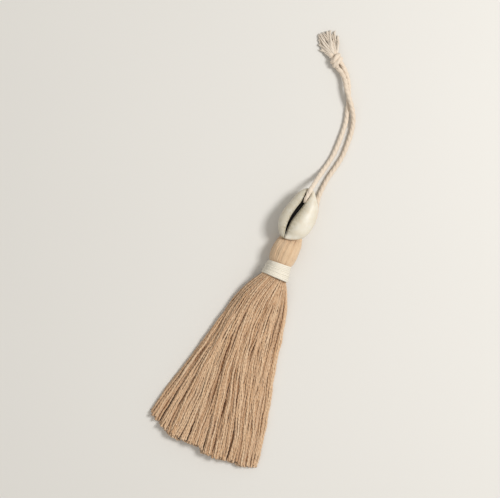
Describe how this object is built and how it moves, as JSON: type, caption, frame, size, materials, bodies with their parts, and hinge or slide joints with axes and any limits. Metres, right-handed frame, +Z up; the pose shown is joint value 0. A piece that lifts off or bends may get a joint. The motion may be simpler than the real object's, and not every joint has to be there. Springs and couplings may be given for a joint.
{
  "type": "tassel with a cowrie",
  "caption": "Cotton tassel lying on its side: a bound head and a spread yarn skirt, with a cowrie strung at the foot of a knotted cord loop for hanging.",
  "frame": {"origin": "on the surface the tassel lies on, below the middle of the binding round its neck", "axes": "+Y along the tassel towards the hanging loop, -Y towards the cut ends of the skirt, +Z up from the surface"},
  "size_m": [0.0506, 0.1828, 0.0111],
  "materials": {
    "skirt_yarn": "matt soft cotton yarn",
    "binding_thread": "matt fine cotton thread",
    "cowrie": "natural gloss",
    "cord": "matt twisted cotton cord"
  },
  "bodies": {
    "root": {"skirt": "skirt_yarn", "binding": "binding_thread", "cowrie": "cowrie", "knot": "cord", "cord_left": "cord", "cord_right": "cord"}
  },
  "joints": []
}
